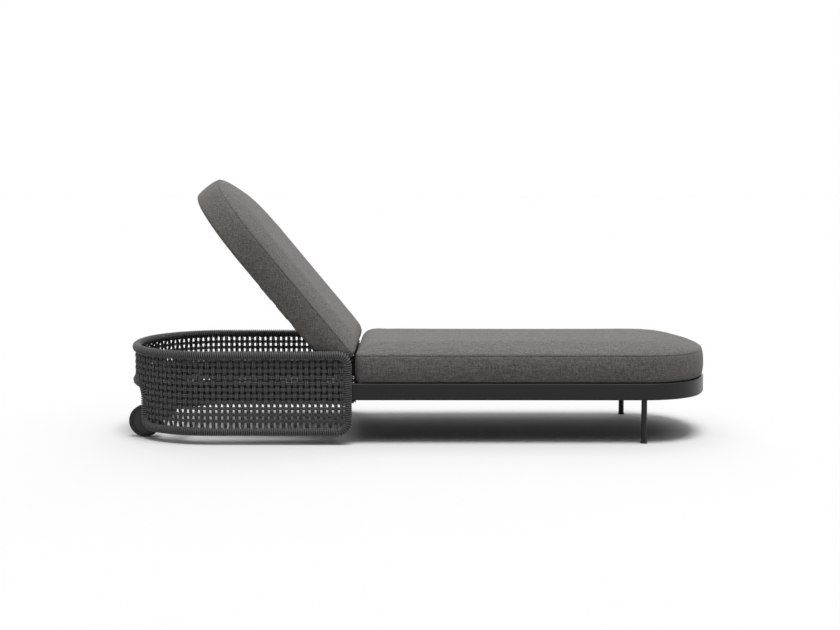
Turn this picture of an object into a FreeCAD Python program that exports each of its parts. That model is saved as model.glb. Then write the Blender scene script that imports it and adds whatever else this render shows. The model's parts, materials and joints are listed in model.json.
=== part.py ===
"""Sun lounger with a rope-woven head basket, two wheels and a reclining back.

Millimetres. +X points to the foot end, +Y to the left of a person lying on it, +Z up.
The origin is on the floor, below the middle of the overall length.
"""
import FreeCAD, Part
import math
import os

Vec = FreeCAD.Vector
UP = Vec(0, 0, 1)
ACROSS = Vec(0, 1, 0)
SIDES = {"left": 1, "right": -1}

# Overall size
LENGTH = 2066.0

# Perimeter frame: rectangular tube bent round both ends
FRAME_HALF_WIDTH = 348.0
FRAME_TOP = 209.0
RAIL_WIDTH = 30.0
RAIL_HEIGHT = 58.0
RAIL_WALL = 2.5
RAIL_ROUND = 5.0
FOOT_CORNER_CENTRE = 118.0
FOOT_END_EXTRA = 330.0

# Basket: rope-bound tube rim and woven wall, round the head end
BASKET_SIDE_GAP = 2.5
BASKET_CORNER_CENTRE = 56.0
BASKET_END_EXTRA = 190.0
BASKET_BOTTOM = 29.0
BASKET_TOP = 324.0
BASKET_FRONT = -224.0
RIM_TUBE_RADIUS = 10.0
BINDING_THICKNESS = 5.5
RIM_BEND = 35.0
ARCH_START_ANGLE = 8.8
ARCH_HEIGHT = 190.0
ARCH_BEND = 45.0
STRAND_WIDTH = 12.5
STRAND_THICKNESS = 6.0
STRAND_PITCH = 20.0
COURSE_COUNT = 10
WEAVE_GAP = 0.2
COURSE_END_GAP = 1.2
BOW_GAP = 2.0
SPACER_RADIUS = 8.0

# Legs at the foot end
LEG_RADIUS = 10.0
LEG_PAST_BEND = 1.8
GLIDE_RADIUS = 11.5
GLIDE_HEIGHT = 6.0

# Wheels at the head end
WHEEL_RADIUS = 57.0
WHEEL_WIDTH = 25.0
WHEEL_POST_GAP = 12.0
WHEEL_FROM_HEAD = 69.0
TYRE_THICKNESS = 11.0
TYRE_ROUND = 4.0
DISC_RECESS = 3.0
DISC_HUB_RADIUS = 18.0
AXLE_RADIUS = 6.0
AXLE_CAP_RADIUS = 11.0
AXLE_CAP_LENGTH = 7.0
WHEEL_BRACKET_THICKNESS = 6.0
WHEEL_BRACKET_WIDTH = 30.0
WHEEL_BRACKET_EYE = 15.0
WHEEL_SIDE_GAP = 2.0

# Deck: slats on stringers on cross bars
SLAT_THICKNESS = 8.0
SLAT_WIDTH = 60.0
SLAT_PITCH = 88.0
SLAT_END_GAP = 6.0
STRINGER_SIZE = 25.0
STRINGER_WALL = 2.0
SEAT_STRINGER_OFFSET = 120.0
CROSS_BAR_WIDTH = 30.0
CROSS_BAR_HEIGHT = 25.0
SEAT_DECK_START = -195.0
SEAT_DECK_END_GAP = 20.0
SEAT_MID_BAR = 290.0
FIT_GAP = 0.3

# Reclining back
PIVOT_X = -275.0
PIVOT_IN_STRINGER = 14.0
RECLINE = 50.4
BACK_TAIL = 13.0
BACK_SLAT_START = -304.0
BACK_SLAT_INSET = 40.0
BACK_STRINGER_OFFSET = 48.0
REST_BAR_X = -830.0
PIN_RADIUS = 5.0
RUNNING_GAP = 0.05
CHEEK_THICKNESS = 5.0
CHEEK_RADIUS = 17.0
CHEEK_GAP = 0.5
HINGE_BAR_WIDTH = 40.0
HINGE_BAR_HEIGHT = 25.0
HINGE_FOOT_THICKNESS = 4.0
RATCHET_RADIUS = 17.0
RATCHET_WIDTH = 14.0
PIN_IN_RATCHET = 9.0

# Cushions
CUSHION_SIDE = 96.0
CUSHION_CROWN = 40.0
SEAT_CUSHION_HEAD = -214.0
BACK_CUSHION_FOOT = -219.0
BACK_CUSHION_GAP = 8.0
CUSHION_CORNER = 24.0
BACK_CUSHION_HEEL = 50.0
CUSHION_SLIDE = 120.0

# Derived levels and places
FOOT_TIP = LENGTH / 2
BINDING_RADIUS = RIM_TUBE_RADIUS + BINDING_THICKNESS
BASKET_TIP = -LENGTH / 2 + BINDING_RADIUS
BASKET_HALF_WIDTH = FRAME_HALF_WIDTH + BASKET_SIDE_GAP + BINDING_RADIUS
BASKET_CORNER_RADIUS = BASKET_HALF_WIDTH - BASKET_CORNER_CENTRE
BASKET_END_RADIUS = BASKET_CORNER_RADIUS + BASKET_END_EXTRA
FOOT_CORNER_RADIUS = FRAME_HALF_WIDTH - FOOT_CORNER_CENTRE
FOOT_END_RADIUS = FOOT_CORNER_RADIUS + FOOT_END_EXTRA
RIM_HIGH = BASKET_TOP - BINDING_RADIUS
RIM_LOW = BASKET_BOTTOM + BINDING_RADIUS
RIM_FRONT = BASKET_FRONT - BINDING_RADIUS
FRAME_BOTTOM = FRAME_TOP - RAIL_HEIGHT
SLAT_BOTTOM = FRAME_TOP - SLAT_THICKNESS
STRINGER_BOTTOM = SLAT_BOTTOM - STRINGER_SIZE
PIVOT_HEIGHT = STRINGER_BOTTOM + PIVOT_IN_STRINGER
PIVOT = Vec(PIVOT_X, 0, PIVOT_HEIGHT)
BACK_DIRECTION = Vec(-math.cos(math.radians(RECLINE)), 0, math.sin(math.radians(RECLINE)))


class RoundedEnd:
    """Plan of one rounded end: corner arcs tangent to the sides, joined by one end arc."""

    def __init__(self, half, corner, end, tip, facing):
        self.half, self.corner, self.end = half, corner, end
        self.tip, self.facing = tip, facing
        self.depth = end - math.sqrt((end - corner) ** 2 - (half - corner) ** 2)
        self.side_x = tip - facing * self.depth
        self.corner_y = half - corner
        self.joint_angle = math.atan2(self.corner_y, end - self.depth)

    def inset(self, distance):
        """The same end moved inwards by a distance."""
        return RoundedEnd(self.half - distance, self.corner - distance, self.end - distance,
                          self.tip - self.facing * distance, self.facing)

    def corner_point(self, angle, side, z=0.0):
        """Point of a corner arc; the angle is measured from the long axis."""
        x = self.side_x + self.facing * self.corner * math.cos(angle)
        return Vec(x, side * (self.corner_y + self.corner * math.sin(angle)), z)

    def corner_arc(self, side, first, last, z=0.0):
        middle = self.corner_point((first + last) / 2, side, z)
        arc = Part.Arc(self.corner_point(first, side, z), middle, self.corner_point(last, side, z))
        return arc.toShape()

    def end_arc(self, z=0.0):
        """Arc over the tip, from the left joint to the right one."""
        arc = Part.Arc(self.corner_point(self.joint_angle, 1, z), Vec(self.tip, 0, z),
                       self.corner_point(self.joint_angle, -1, z))
        return arc.toShape()

    def edges(self, z=0.0):
        """Edges from the left side round the tip to the right side."""
        quarter = math.pi / 2
        return [self.corner_arc(1, quarter, self.joint_angle, z), self.end_arc(z),
                self.corner_arc(-1, self.joint_angle, quarter, z)]

    def face(self, x_flat, z=0.0):
        """D-shaped face from a straight line across at x_flat to the tip."""
        left, right = Vec(self.side_x, self.half, z), Vec(self.side_x, -self.half, z)
        flat_left, flat_right = Vec(x_flat, self.half, z), Vec(x_flat, -self.half, z)
        edges = [line(flat_left, left)] + self.edges(z)
        edges += [line(right, flat_right), line(flat_right, flat_left)]
        return Part.Face(Part.Wire(edges))


def line(start, end):
    return Part.LineSegment(start, end).toShape()


def fused(solids):
    """One solid from pieces that share faces."""
    if len(solids) == 1:
        return solids[0]
    return solids[0].multiFuse(solids[1:]).removeSplitter().Solids[0]


def box(low, high):
    size = high - low
    return Part.makeBox(size.x, size.y, size.z, low)


def cylinder_y(radius, y_from, y_to, x, z):
    return Part.makeCylinder(radius, y_to - y_from, Vec(x, y_from, z), ACROSS)


def round_section(radius, inner=0.0):
    """Maker of disc or ring faces, square to the path."""
    def section(point, direction):
        disc = Part.Face(Part.Wire(Part.makeCircle(radius, point, direction)))
        if not inner:
            return disc
        return disc.cut(Part.Face(Part.Wire(Part.makeCircle(inner, point, direction)))).Faces[0]
    return section


def rounded_rectangle(point, across, width, height, radius):
    """Upright rectangle with rounded corners, centred on the point."""
    u, v = width / 2, height / 2
    corners = [(u, v), (-u, v), (-u, -v), (u, -v)]
    shrink = 1 - math.sqrt(0.5)
    edges, ends = [], []
    for cu, cv in corners:
        su, sv = math.copysign(radius, cu), math.copysign(radius, cv)
        spots = [(cu, cv - sv), (cu - su * shrink, cv - sv * shrink), (cu - su, cv)]
        if cu * cv < 0:
            spots.reverse()
        spots = [point + across * a + UP * b for a, b in spots]
        edges.append(Part.Arc(*spots).toShape())
        ends.append((spots[0], spots[2]))
    lines = [line(ends[i][1], ends[(i + 1) % 4][0]) for i in range(4)]
    ordered = [edge for pair in zip(edges, lines) for edge in pair]
    return Part.Face(Part.Wire(ordered))


def tube_section(width, height, wall, radius):
    """Maker of rectangular tube faces with rounded corners, square to a level path."""
    def section(point, direction):
        across = direction.cross(UP).normalize()
        outer = rounded_rectangle(point, across, width, height, radius)
        inner = rounded_rectangle(point, across, width - 2 * wall, height - 2 * wall, radius - wall / 2)
        return outer.cut(inner).Faces[0]
    return section


def swept(path, section):
    """Solid of a section carried along tangent lines and arcs."""
    solids = []
    for edge in path:
        start = edge.valueAt(edge.FirstParameter)
        face = section(start, edge.tangentAt(edge.FirstParameter))
        if isinstance(edge.Curve, Part.Circle):
            turn = math.degrees(edge.LastParameter - edge.FirstParameter)
            solids.append(face.revolve(edge.Curve.Center, edge.Curve.Axis, turn))
        else:
            solids.append(face.extrude(edge.valueAt(edge.LastParameter) - start))
    return fused(solids)


def reclined(shape):
    """A piece of the flat back, turned up to its raised place."""
    turned = shape.copy()
    turned.rotate(PIVOT, ACROSS, RECLINE)
    return turned


def slid_up(shape):
    """A raised piece, moved along the back to where the seat cushion holds it."""
    moved = shape.copy()
    moved.translate(BACK_DIRECTION * CUSHION_SLIDE)
    return moved


FOOT_PLAN = RoundedEnd(FRAME_HALF_WIDTH, FOOT_CORNER_RADIUS, FOOT_END_RADIUS, FOOT_TIP, 1)
LEG_X = FOOT_PLAN.side_x + LEG_PAST_BEND
WALL_PLAN = RoundedEnd(BASKET_HALF_WIDTH, BASKET_CORNER_RADIUS, BASKET_END_RADIUS, BASKET_TIP, -1)

# The arch top bends inwards so that its upright meets both the low rail and the arch tangentially
ARCH_INSET = BASKET_CORNER_RADIUS - math.sqrt(BASKET_CORNER_RADIUS ** 2 + RIM_BEND ** 2 - ARCH_BEND ** 2)
ARCH_PLAN = WALL_PLAN.inset(ARCH_INSET)

# The head bow runs inside the arch top
FRAME_INSET = BASKET_HALF_WIDTH - FRAME_HALF_WIDTH
BOW_TIP = BASKET_TIP + ARCH_INSET + BINDING_RADIUS + BOW_GAP
HEAD_PLAN = RoundedEnd(FRAME_HALF_WIDTH, BASKET_CORNER_RADIUS - FRAME_INSET,
                       BASKET_END_RADIUS - FRAME_INSET, BOW_TIP, -1)

# Where the low rail leaves the plan curve and turns up beside the cut-out
POST_RADIUS = math.hypot(BASKET_CORNER_RADIUS, RIM_BEND)
ARCH_ANGLE = WALL_PLAN.joint_angle + math.radians(ARCH_START_ANGLE)
POST_ANGLE = ARCH_ANGLE + math.atan2(ARCH_BEND, ARCH_PLAN.corner)
LOW_RAIL_ANGLE = POST_ANGLE + math.atan2(RIM_BEND, BASKET_CORNER_RADIUS)
POST_Y = WALL_PLAN.corner_y + POST_RADIUS * math.sin(POST_ANGLE)
WHEEL_TRACK = 2 * (POST_Y - BINDING_RADIUS - WHEEL_POST_GAP) - WHEEL_WIDTH


def perimeter_frame():
    """Two straight rails and two bent bows, welded end to end."""
    section = tube_section(RAIL_WIDTH, RAIL_HEIGHT, RAIL_WALL, RAIL_ROUND)
    z = FRAME_TOP - RAIL_HEIGHT / 2
    middle = RAIL_WIDTH / 2
    nodes = {}
    for name, side in SIDES.items():
        y = side * (FRAME_HALF_WIDTH - middle)
        rail = line(Vec(HEAD_PLAN.side_x, y, z), Vec(FOOT_PLAN.side_x, y, z))
        nodes["side_rail_" + name] = swept([rail], section)
    nodes["foot_bow"] = swept(FOOT_PLAN.inset(middle).edges(z), section)
    nodes["head_bow"] = swept(HEAD_PLAN.inset(middle).edges(z), section)
    return nodes


def cross_bar(x, top, width, height, plan):
    """Bar between the inner faces of the frame, its ends cut to meet them."""
    bar = box(Vec(x - width / 2, -FRAME_HALF_WIDTH, top - height),
              Vec(x + width / 2, FRAME_HALF_WIDTH, top))
    inside = plan.inset(RAIL_WIDTH).face(-plan.tip, top - height).extrude(UP * height)
    return bar.common(inside).Solids[0]


def stringer(x_from, x_to, y):
    """Square tube along the lounger, under the slats."""
    section = tube_section(STRINGER_SIZE, STRINGER_SIZE, STRINGER_WALL, STRINGER_WALL)
    z = STRINGER_BOTTOM + STRINGER_SIZE / 2
    return swept([line(Vec(x_from, y, z), Vec(x_to, y, z))], section)


def slats(plan, x_first, x_limit):
    """Flat slats across, trimmed to the inside of the frame."""
    inside = plan.inset(RAIL_WIDTH + SLAT_END_GAP)
    step = math.copysign(SLAT_PITCH, x_limit - x_first)
    width = math.copysign(SLAT_WIDTH, step)
    deck = inside.face(x_first, SLAT_BOTTOM).extrude(UP * SLAT_THICKNESS)
    count = int((x_limit - x_first - width) / step) + 1
    pieces = []
    for index in range(count):
        near, far = sorted((x_first + index * step, x_first + index * step + width))
        strip = box(Vec(near, -FRAME_HALF_WIDTH, SLAT_BOTTOM), Vec(far, FRAME_HALF_WIDTH, FRAME_TOP))
        pieces.append(deck.common(strip).Solids[0])
    return Part.Compound(pieces)


def seat_deck():
    nodes = {}
    last_slat = FOOT_TIP - RAIL_WIDTH - SLAT_END_GAP - SEAT_DECK_END_GAP
    bars = {"head": SEAT_DECK_START + CROSS_BAR_WIDTH, "mid": SEAT_MID_BAR, "foot": LEG_X}
    for name, x in bars.items():
        bar = cross_bar(x, STRINGER_BOTTOM, CROSS_BAR_WIDTH, CROSS_BAR_HEIGHT, FOOT_PLAN)
        nodes["seat_cross_bar_" + name] = bar
    for name, side in SIDES.items():
        nodes["seat_stringer_" + name] = stringer(SEAT_DECK_START, LEG_X + CROSS_BAR_WIDTH,
                                                   side * SEAT_STRINGER_OFFSET)
    nodes["seat_slats"] = slats(FOOT_PLAN, SEAT_DECK_START, last_slat)
    return nodes


def legs():
    nodes = {}
    for name, side in SIDES.items():
        foot = Vec(LEG_X, side * (FRAME_HALF_WIDTH - RAIL_WIDTH / 2), 0)
        glide = Part.makeCylinder(GLIDE_RADIUS, GLIDE_HEIGHT, foot)
        nodes["leg_glide_" + name] = glide.makeChamfer(1.0, glide.Edges)
        nodes["leg_" + name] = Part.makeCylinder(LEG_RADIUS, FRAME_BOTTOM - GLIDE_HEIGHT,
                                                 foot + UP * GLIDE_HEIGHT)
    return nodes


def wheel_bracket(x, side):
    """Plate hanging from the head bow, with an eye round the axle."""
    y_out = WHEEL_TRACK / 2 - WHEEL_WIDTH / 2 - WHEEL_SIDE_GAP
    y = y_out - WHEEL_BRACKET_THICKNESS
    bow_middle = HEAD_PLAN.inset(RAIL_WIDTH / 2)
    seat_angle = math.asin((y + WHEEL_BRACKET_THICKNESS / 2 - bow_middle.corner_y) / bow_middle.corner)
    seat_x = bow_middle.corner_point(seat_angle, 1).x
    half = WHEEL_BRACKET_WIDTH / 2
    eye, hub_z = WHEEL_BRACKET_EYE, WHEEL_RADIUS
    outline = [Vec(seat_x - half, y, FRAME_BOTTOM), Vec(seat_x + half, y, FRAME_BOTTOM),
               Vec(x + eye, y, hub_z), Vec(x - eye, y, hub_z)]
    plate = Part.Face(Part.makePolygon(outline + outline[:1])).extrude(ACROSS * WHEEL_BRACKET_THICKNESS)
    eye_disc = cylinder_y(eye, y, y_out, x, hub_z)
    hole = cylinder_y(AXLE_RADIUS, y, y_out, x, hub_z)
    bracket = fused([plate, eye_disc]).cut(hole)
    return bracket if side > 0 else bracket.mirror(Vec(), ACROSS)


def wheel_ring(outer, inner, width, rounding):
    """Tyre section turned about Y, centred on the origin."""
    half = width / 2
    flat = half - rounding
    shrink = rounding * (1 - math.sqrt(0.5))
    low, top = Vec(inner, -half, 0), Vec(outer - rounding, half, 0)
    edges = [
        line(Vec(inner, half, 0), low),
        line(low, Vec(outer - rounding, -half, 0)),
        Part.Arc(Vec(outer - rounding, -half, 0), Vec(outer - shrink, shrink - half, 0),
                 Vec(outer, -flat, 0)).toShape(),
        line(Vec(outer, -flat, 0), Vec(outer, flat, 0)),
        Part.Arc(Vec(outer, flat, 0), Vec(outer - shrink, half - shrink, 0), top).toShape(),
        line(top, Vec(inner, half, 0)),
    ]
    return Part.Face(Part.Wire(edges)).revolve(Vec(), ACROSS, 360)


def wheel_disc(radius, width):
    """Solid wheel centre, dished on both faces between hub and rim, bored for the axle."""
    half = width / 2
    disc = cylinder_y(radius, -half, half, 0, 0)
    for face in (-1, 1):
        start = -half if face < 0 else half - DISC_RECESS
        dish = cylinder_y(radius - DISC_RECESS, start, start + DISC_RECESS, 0, 0)
        dish = dish.cut(cylinder_y(DISC_HUB_RADIUS, start, start + DISC_RECESS, 0, 0))
        disc = disc.cut(dish)
    return disc.cut(cylinder_y(AXLE_RADIUS + RUNNING_GAP, -half, half, 0, 0))


def wheels():
    nodes = {}
    x = -LENGTH / 2 + WHEEL_FROM_HEAD
    outer = WHEEL_TRACK / 2 + WHEEL_WIDTH / 2 + WHEEL_SIDE_GAP
    nodes["wheel_axle"] = cylinder_y(AXLE_RADIUS, -outer, outer, x, WHEEL_RADIUS)
    tyre_inner = WHEEL_RADIUS - TYRE_THICKNESS
    for name, side in SIDES.items():
        place = Vec(x, side * WHEEL_TRACK / 2, WHEEL_RADIUS)
        disc = wheel_disc(tyre_inner, WHEEL_WIDTH - 2 * DISC_RECESS)
        nodes["wheel_disc_" + name] = disc.translated(place)
        tyre = wheel_ring(WHEEL_RADIUS, tyre_inner, WHEEL_WIDTH, TYRE_ROUND)
        nodes["wheel_tyre_" + name] = tyre.translated(place)
        nodes["wheel_bracket_" + name] = wheel_bracket(x, side)
        ends = sorted((side * outer, side * (outer + AXLE_CAP_LENGTH)))
        cap = cylinder_y(AXLE_CAP_RADIUS, ends[0], ends[1], x, WHEEL_RADIUS)
        rim = [edge for edge in cap.Edges if abs(abs(edge.CenterOfMass.y) - outer) > AXLE_CAP_LENGTH / 2
               and isinstance(edge.Curve, Part.Circle)]
        nodes["axle_cap_" + name] = cap.makeFillet(AXLE_CAP_LENGTH / 3, rim)
    return nodes


def rim_paths():
    """Centre lines of the rim tube, as named stretches of tangent lines and arcs."""
    bend, quarter = RIM_BEND, math.pi / 2
    mid = bend * math.sqrt(0.5)
    half, side_x, front = BASKET_HALF_WIDTH, WALL_PLAN.side_x, RIM_FRONT
    back_of_bend = front - bend
    paths = {"top": [line(Vec(back_of_bend, half, RIM_HIGH), Vec(side_x, half, RIM_HIGH))]
             + WALL_PLAN.edges(RIM_HIGH)
             + [line(Vec(side_x, -half, RIM_HIGH), Vec(back_of_bend, -half, RIM_HIGH))]}
    for name, side in SIDES.items():
        y = side * half
        upper, lower = RIM_HIGH - bend, RIM_LOW + bend
        paths["front_" + name] = [
            Part.Arc(Vec(back_of_bend, y, RIM_HIGH), Vec(back_of_bend + mid, y, upper + mid),
                     Vec(front, y, upper)).toShape(),
            line(Vec(front, y, upper), Vec(front, y, lower)),
            Part.Arc(Vec(front, y, lower), Vec(back_of_bend + mid, y, lower - mid),
                     Vec(back_of_bend, y, RIM_LOW)).toShape(),
        ]
        leave = WALL_PLAN.corner_point(LOW_RAIL_ANGLE, side, RIM_LOW)
        post = post_place(side)
        level = (Vec(post.x, post.y, RIM_LOW) - leave).normalize()
        paths["bottom_" + name] = [
            line(Vec(back_of_bend, y, RIM_LOW), Vec(side_x, y, RIM_LOW)),
            WALL_PLAN.corner_arc(side, quarter, LOW_RAIL_ANGLE, RIM_LOW),
            Part.Arc(leave, leave + level * mid + UP * (bend - mid),
                     leave + level * bend + UP * bend).toShape(),
        ]
    paths["arch"] = arch_rise(1) + [ARCH_PLAN.corner_arc(1, ARCH_ANGLE, ARCH_PLAN.joint_angle, ARCH_HEIGHT),
                                    ARCH_PLAN.end_arc(ARCH_HEIGHT),
                                    ARCH_PLAN.corner_arc(-1, ARCH_PLAN.joint_angle, ARCH_ANGLE, ARCH_HEIGHT)]
    paths["arch"] += [reversed_edge(edge) for edge in reversed(arch_rise(-1))]
    return paths


def post_place(side):
    """Plan point of the upright beside the cut-out."""
    x = WALL_PLAN.side_x - POST_RADIUS * math.cos(POST_ANGLE)
    return Vec(x, side * POST_Y, 0)


def arch_rise(side):
    """Upright and bend that lead from the low rail to the arch top."""
    post = post_place(side)
    top = ARCH_PLAN.corner_point(ARCH_ANGLE, side, ARCH_HEIGHT)
    level = (Vec(top.x, top.y, 0) - post).normalize()
    shoulder = post + UP * (ARCH_HEIGHT - ARCH_BEND)
    mid = ARCH_BEND * math.sqrt(0.5)
    middle = shoulder + level * (ARCH_BEND - mid) + UP * mid
    return [line(post + UP * (RIM_LOW + RIM_BEND), shoulder), Part.Arc(shoulder, middle, top).toShape()]


def reversed_edge(edge):
    """The same line or arc, run the other way."""
    start, end = edge.valueAt(edge.FirstParameter), edge.valueAt(edge.LastParameter)
    if isinstance(edge.Curve, Part.Circle):
        middle = edge.valueAt((edge.FirstParameter + edge.LastParameter) / 2)
        return Part.Arc(end, middle, start).toShape()
    return line(end, start)


def basket_rim():
    """Tube rim of the basket and the rope binding that covers each stretch of it."""
    paths = rim_paths()
    nodes = {}
    for name, path in paths.items():
        nodes["rim_tube_" + name] = swept(path, round_section(RIM_TUBE_RADIUS))
        nodes["binding_" + name] = swept(path, round_section(BINDING_RADIUS, RIM_TUBE_RADIUS))
    return nodes


def wall_stations():
    """Points along half the wall from the front post: (plan point, inward normal, distance)."""
    straight = RIM_FRONT - WALL_PLAN.side_x
    corner_length = WALL_PLAN.corner * (math.pi / 2 - WALL_PLAN.joint_angle)
    end_length = WALL_PLAN.end * WALL_PLAN.joint_angle
    total = straight + corner_length + end_length
    count = round(total / STRAND_PITCH)
    stations = []
    for index in range(1, count + 1):
        run = total * index / count
        if run < straight:
            stations.append((Vec(RIM_FRONT - run, BASKET_HALF_WIDTH, 0), Vec(0, -1, 0), run))
        elif run < straight + corner_length:
            angle = math.pi / 2 - (run - straight) / WALL_PLAN.corner
            normal = Vec(math.cos(angle), -math.sin(angle), 0)
            stations.append((WALL_PLAN.corner_point(angle, 1), normal, run))
        else:
            angle = WALL_PLAN.joint_angle - (run - straight - corner_length) / WALL_PLAN.end
            normal = Vec(math.cos(angle), -math.sin(angle), 0)
            centre = Vec(WALL_PLAN.tip + WALL_PLAN.end, 0, 0)
            stations.append((centre - normal * WALL_PLAN.end, normal, run))
    return stations


def post_run():
    """Distance along the wall from the front post to the upright beside the cut-out."""
    return RIM_FRONT - WALL_PLAN.side_x + WALL_PLAN.corner * (math.pi / 2 - POST_ANGLE)


def strand_span(run):
    """Lowest and highest level of an upright strand at a distance along the wall, or None at a post."""
    half = STRAND_WIDTH / 2
    top = RIM_HIGH - BINDING_RADIUS - WEAVE_GAP
    bottom = RIM_LOW + BINDING_RADIUS + WEAVE_GAP
    inner_bend = RIM_BEND - BINDING_RADIUS - WEAVE_GAP
    outer_bend = ARCH_BEND + BINDING_RADIUS + WEAVE_GAP
    from_front = run - half
    past_post = run + half - post_run()
    if from_front < BINDING_RADIUS + WEAVE_GAP:
        return None
    if from_front < RIM_BEND:
        rise = math.sqrt(inner_bend ** 2 - (RIM_BEND - from_front) ** 2)
        return RIM_LOW + RIM_BEND - rise, RIM_HIGH - RIM_BEND + rise
    if past_post > ARCH_BEND - outer_bend:
        across = max(ARCH_BEND - past_post, 0)
        return ARCH_HEIGHT - ARCH_BEND + math.sqrt(outer_bend ** 2 - across ** 2), top
    if past_post > -RIM_BEND:
        rise = math.sqrt(inner_bend ** 2 - (RIM_BEND + past_post) ** 2)
        return RIM_LOW + RIM_BEND - rise, top
    return bottom, top


def upright_strands():
    """Upright strands of the woven wall, on its inner side."""
    strands = []
    stations = wall_stations()
    for point, normal, run in stations:
        span = strand_span(run)
        if span is None:
            continue
        low, high = span
        along = normal.cross(UP)
        corner = point + normal * WEAVE_GAP - along * (STRAND_WIDTH / 2) + UP * low
        far = corner + along * STRAND_WIDTH
        face = Part.Face(Part.makePolygon([corner, far, far + normal * STRAND_THICKNESS,
                                           corner + normal * STRAND_THICKNESS, corner]))
        strand = face.extrude(UP * (high - low))
        strands.append(strand)
        if abs(point.y) > STRAND_PITCH / 4:
            strands.append(strand.mirror(Vec(), ACROSS))
    return Part.Compound(strands)


def course_end_run(low):
    """How far along the wall a course reaches before the cut-out, or None where it runs right round."""
    outer_bend = ARCH_BEND + BINDING_RADIUS + WEAVE_GAP
    lift = max(low - (ARCH_HEIGHT - ARCH_BEND), 0)
    if lift > outer_bend:
        return None
    return post_run() + ARCH_BEND - math.sqrt(outer_bend ** 2 - lift ** 2) - COURSE_END_GAP


def course_edges(plan, end_angle, z, x_front):
    """Inner or outer plan edges of a course on the left side, front to cut-out."""
    start = Vec(x_front, plan.half, z)
    return [line(start, Vec(plan.side_x, plan.half, z)), plan.corner_arc(1, math.pi / 2, end_angle, z)]


def level_courses():
    """Level strands of the woven wall, on its outer side, cut off at the posts."""
    inner, outer = WALL_PLAN, WALL_PLAN.inset(-STRAND_THICKNESS)
    x_front = RIM_FRONT - BINDING_RADIUS - COURSE_END_GAP
    clear_low, clear_high = RIM_LOW + BINDING_RADIUS, RIM_HIGH - BINDING_RADIUS
    pitch = (clear_high - clear_low) / (COURSE_COUNT + 1)
    pieces = []
    for index in range(1, COURSE_COUNT + 1):
        z = clear_low + pitch * index
        low = z - STRAND_WIDTH / 2
        end_run = course_end_run(low)
        if end_run is None:
            band = outer.face(x_front, low).cut(inner.face(x_front, low))
            pieces.append(band.extrude(UP * STRAND_WIDTH).Solids[0])
            continue
        straight = RIM_FRONT - WALL_PLAN.side_x
        angle = math.pi / 2 - (end_run - straight) / WALL_PLAN.corner
        near, far = course_edges(inner, angle, low, x_front), course_edges(outer, angle, low, x_front)
        closing = [line(inner.corner_point(angle, 1, low), outer.corner_point(angle, 1, low)),
                   line(Vec(x_front, outer.half, low), Vec(x_front, inner.half, low))]
        loop = Part.Wire(Part.__sortEdges__(near + far + closing))
        left = Part.Face(loop).extrude(UP * STRAND_WIDTH)
        pieces += [left, left.mirror(Vec(), ACROSS)]
    return Part.Compound(pieces)


def basket_spacers():
    """Round pads between the frame and the rim, at the front posts and under the arch top."""
    z = FRAME_TOP - RAIL_HEIGHT / 2
    inner, outer = FRAME_HALF_WIDTH, BASKET_HALF_WIDTH - BINDING_RADIUS
    left = cylinder_y(SPACER_RADIUS, inner, outer, RIM_FRONT, z)
    tip = Part.makeCylinder(SPACER_RADIUS, BOW_GAP, Vec(BOW_TIP - BOW_GAP, 0, z), Vec(1, 0, 0))
    return Part.Compound([left, left.mirror(Vec(), ACROSS), tip])


def hinge_bracket(side):
    """Foot plate and two cheeks that hold the pin of one back stringer."""
    gap = STRINGER_SIZE / 2 + CHEEK_GAP
    width = gap + CHEEK_THICKNESS
    y = side * BACK_STRINGER_OFFSET
    foot_top = hinge_bar_top() + HINGE_FOOT_THICKNESS
    foot = box(Vec(PIVOT_X - CHEEK_RADIUS, y - width, hinge_bar_top()),
               Vec(PIVOT_X + CHEEK_RADIUS, y + width, foot_top))
    pieces = [foot]
    for cheek in (-1, 1):
        y_from, y_to = sorted((y + cheek * gap, y + cheek * width))
        ear = cylinder_y(CHEEK_RADIUS, y_from, y_to, PIVOT_X, PIVOT_HEIGHT)
        web = box(Vec(PIVOT_X - CHEEK_RADIUS, y_from, foot_top),
                  Vec(PIVOT_X + CHEEK_RADIUS, y_to, PIVOT_HEIGHT))
        pieces += [ear, web]
    hole = cylinder_y(PIN_RADIUS + RUNNING_GAP, y - width, y + width, PIVOT_X, PIVOT_HEIGHT)
    return fused(pieces).cut(hole)


def hinge_bar_top():
    """Highest level of the hinge bar that the turning stringer ends still clear."""
    drop = PIVOT_HEIGHT - STRINGER_BOTTOM
    swing = math.hypot(BACK_TAIL, max(drop, STRINGER_SIZE - drop))
    return PIVOT_HEIGHT - swing - HINGE_FOOT_THICKNESS - CHEEK_GAP


def hinge_parts():
    """Fixed half of the hinge: bar, brackets and closed ratchet housings."""
    bar = cross_bar(PIVOT_X, hinge_bar_top(), HINGE_BAR_WIDTH, HINGE_BAR_HEIGHT, HEAD_PLAN)
    nodes = {"hinge_cross_bar": bar}
    inner = BACK_STRINGER_OFFSET + STRINGER_SIZE / 2 + CHEEK_GAP + CHEEK_THICKNESS
    for name, side in SIDES.items():
        nodes["hinge_bracket_" + name] = hinge_bracket(side)
        ends = sorted((side * inner, side * (inner + RATCHET_WIDTH)))
        housing = cylinder_y(RATCHET_RADIUS, ends[0], ends[1], PIVOT_X, PIVOT_HEIGHT)
        bore_ends = sorted((side * inner, side * (inner + PIN_IN_RATCHET + CHEEK_GAP)))
        bore = cylinder_y(PIN_RADIUS + RUNNING_GAP, bore_ends[0], bore_ends[1], PIVOT_X, PIVOT_HEIGHT)
        nodes["ratchet_housing_" + name] = housing.cut(bore)
    rest_top = STRINGER_BOTTOM - FIT_GAP
    nodes["back_rest_bar"] = cross_bar(REST_BAR_X, rest_top, CROSS_BAR_WIDTH, CROSS_BAR_HEIGHT, HEAD_PLAN)
    return nodes


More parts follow.
